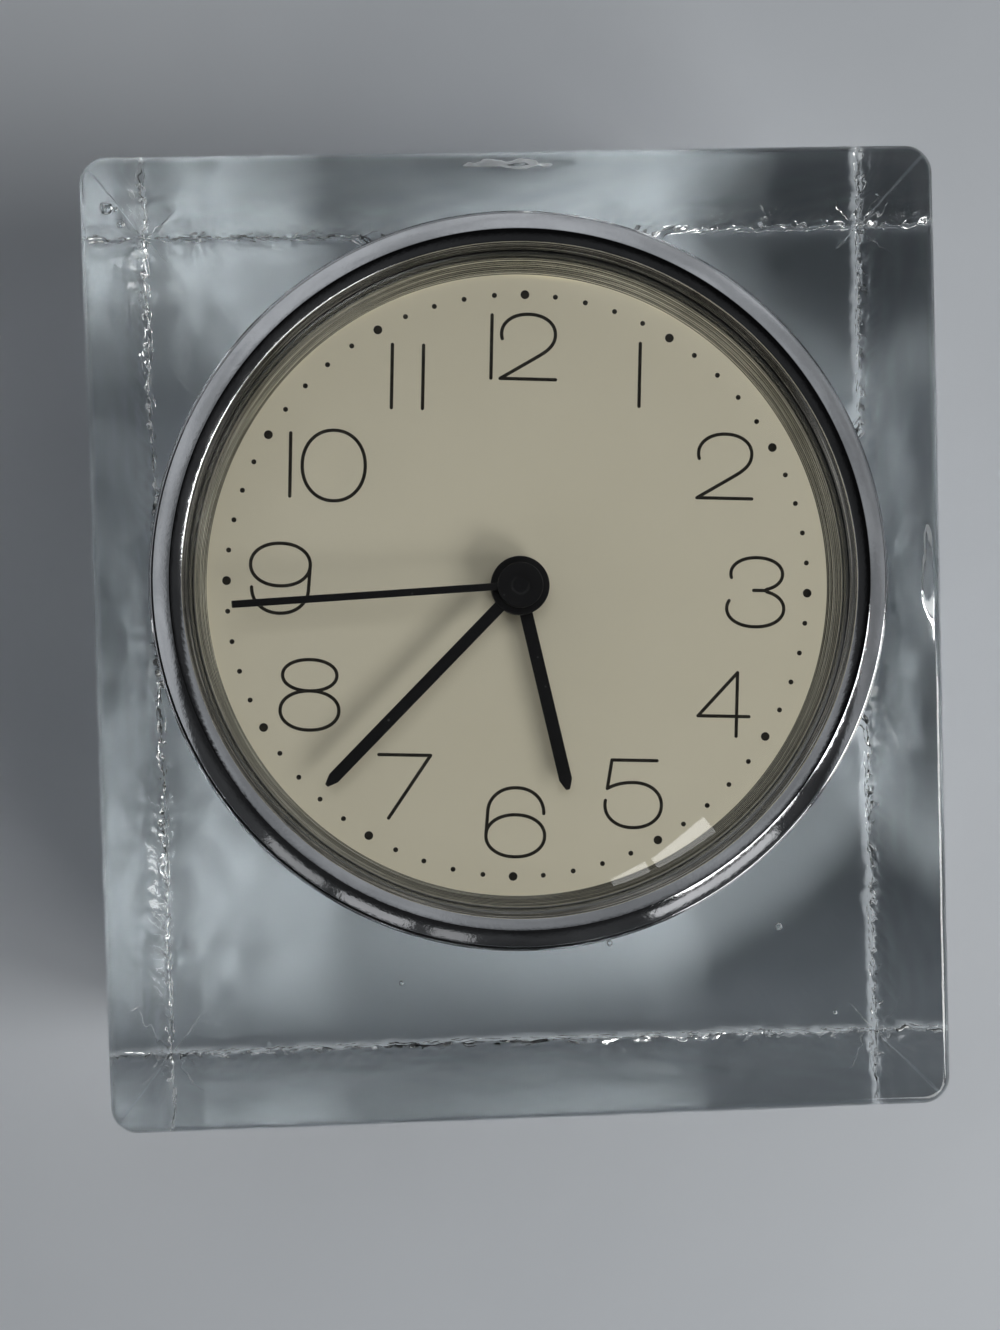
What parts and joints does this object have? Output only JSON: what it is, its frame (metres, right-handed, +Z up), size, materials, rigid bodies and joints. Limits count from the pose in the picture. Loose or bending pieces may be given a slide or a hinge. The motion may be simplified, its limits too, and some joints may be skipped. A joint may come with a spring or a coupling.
{
  "type": "glass block clock",
  "caption": "Thick clear glass block standing on its flat base, with a round bore holding a chrome-rimmed battery clock insert.",
  "frame": {"origin": "middle of the glass block's flat base, half way through its depth", "axes": "X right as seen from the front, Y from the front to the back, Z up"},
  "size_m": [0.12, 0.0494, 0.137],
  "materials": {
    "glass": "thick clear pressed glass, fire polished",
    "chrome": "bright polished",
    "crystal": "clear domed cover",
    "reflector": "polished with fine turned steps",
    "cream": "matt cream with printed marks",
    "black": "satin black",
    "dark_plastic": "moulded, fine texture",
    "rubber": "matt",
    "cell": "satin sleeve",
    "grey_plastic": "moulded",
    "natural_plastic": "moulded, undyed",
    "steel": "plated",
    "brass": "turned",
    "copper": "enamelled winding",
    "board": "paper laminate"
  },
  "bodies": {
    "block": {"glass_block": "glass"},
    "insert": {"bezel": "chrome", "crystal": "crystal", "reflector_ring": "reflector", "dial": "cream", "drum": "dark_plastic", "grip_ring": "rubber", "back_cover": "dark_plastic", "battery_tray": "dark_plastic", "battery": "cell", "plus_contact": "steel", "minus_contact": "steel", "movement_case": "grey_plastic", "movement_back": "grey_plastic", "bridge_plate": "natural_plastic", "stator": "steel", "coil_core": "steel", "coil_bobbin": "natural_plastic", "coil_winding": "copper", "circuit_board": "board", "crystal_can": "steel", "control_chip": "black", "cover_screw_1": "steel", "cover_screw_2": "steel", "cover_screw_3": "steel", "case_screw_1": "steel", "case_screw_2": "steel", "case_screw_3": "steel", "ear_screw_1": "steel", "ear_screw_2": "steel"},
    "seconds": {"seconds_hand": "black", "seconds_wheel": "natural_plastic"},
    "rotor": {"rotor": "steel"},
    "intermediate": {"intermediate_wheel": "natural_plastic"},
    "third": {"third_wheel": "natural_plastic"},
    "centre": {"centre_wheel": "natural_plastic", "clutch_spring": "brass"},
    "minute": {"minute_hand": "black", "cannon_pinion": "brass"},
    "hour": {"hour_hand": "black", "hour_wheel": "natural_plastic"},
    "motion": {"motion_wheel": "natural_plastic", "setting_knob": "dark_plastic"},
    "lid": {"battery_lid": "dark_plastic"}
  },
  "joints": [
    {"name": "insert_pull", "type": "slide", "parent": "block", "child": "insert", "axis": [0, -1, 0], "range_m": [0, 0.045]},
    {"name": "seconds_spin", "type": "hinge", "parent": "insert", "child": "seconds", "pos_m": [0, -0.0085, 0.0762], "axis": [0, 1, 0], "continuous": true},
    {"name": "rotor_spin", "type": "hinge", "parent": "insert", "child": "rotor", "pos_m": [0.00368, -0.0015, 0.09488], "axis": [0, 1, 0], "continuous": true},
    {"name": "intermediate_spin", "type": "hinge", "parent": "insert", "child": "intermediate", "pos_m": [0.00328, -0.0005, 0.08649], "axis": [0, 1, 0], "continuous": true},
    {"name": "third_spin", "type": "hinge", "parent": "insert", "child": "third", "pos_m": [-0.01079, -0.0025, 0.07671], "axis": [0, 1, 0], "continuous": true},
    {"name": "centre_spin", "type": "hinge", "parent": "insert", "child": "centre", "pos_m": [0, -0.0085, 0.0762], "axis": [0, 1, 0], "continuous": true},
    {"name": "minute_spin", "type": "hinge", "parent": "insert", "child": "minute", "pos_m": [0, -0.0085, 0.0762], "axis": [0, 1, 0], "continuous": true},
    {"name": "hour_spin", "type": "hinge", "parent": "insert", "child": "hour", "pos_m": [0, -0.0085, 0.0762], "axis": [0, 1, 0], "continuous": true},
    {"name": "motion_spin", "type": "hinge", "parent": "insert", "child": "motion", "pos_m": [0.0126, -0.0085, 0.08013], "axis": [0, 1, 0], "continuous": true},
    {"name": "lid_hinge", "type": "hinge", "parent": "insert", "child": "lid", "pos_m": [-0.00138, 0.01575, 0.04698], "axis": [-0.9989, 0, 0.0471], "range_deg": [0, 100]}
  ],
  "couplings": [
    {"joint": "intermediate_spin", "follows": "seconds_spin", "ratio": -5},
    {"joint": "rotor_spin", "follows": "seconds_spin", "ratio": 30},
    {"joint": "third_spin", "follows": "seconds_spin", "ratio": -0.125},
    {"joint": "centre_spin", "follows": "seconds_spin", "ratio": 0.016667},
    {"joint": "motion_spin", "follows": "minute_spin", "ratio": -0.33333},
    {"joint": "hour_spin", "follows": "minute_spin", "ratio": 0.083333}
  ]
}
